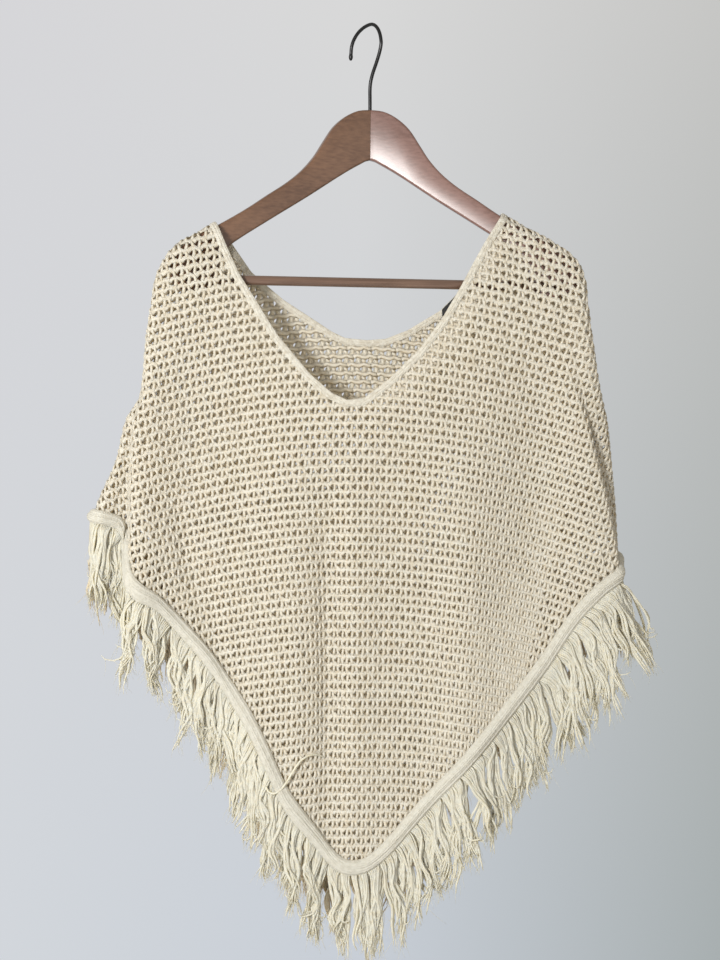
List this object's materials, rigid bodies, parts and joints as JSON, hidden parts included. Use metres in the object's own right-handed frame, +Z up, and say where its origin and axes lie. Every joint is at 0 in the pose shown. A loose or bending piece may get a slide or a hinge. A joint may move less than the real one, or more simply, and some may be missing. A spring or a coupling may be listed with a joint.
{
  "type": "knitted poncho on a clothes hanger",
  "caption": "Open-knit poncho sweater with a V neck and a fringed hem that falls to a point front and back, hung flat on a contoured wooden hanger with a wire hook.",
  "frame": {"origin": "the underside of the hook's crook, where the hook sits on a rod", "axes": "+Z up, the front of the garment faces -Y, +X to the right of someone who looks at its front"},
  "size_m": [0.5927, 0.1053, 0.9868],
  "materials": {
    "knit": "cream open-mesh knit",
    "band": "cream fine ribbed knit",
    "fringe": "cream yarn",
    "label": "black woven tape",
    "wood": "reddish brown satin lacquer",
    "hook": "black enamelled wire"
  },
  "bodies": {
    "root": {"front_panel": "knit", "back_panel": "knit", "neck_band": "band", "hem_band_front": "band", "hem_band_back": "band", "fringe_front_left": "fringe", "fringe_front_right": "fringe", "fringe_back_left": "fringe", "fringe_back_right": "fringe", "label": "label", "hanger_arm_left": "wood", "hanger_arm_right": "wood", "hanger_bar": "wood", "hanger_hook": "hook"}
  },
  "joints": []
}
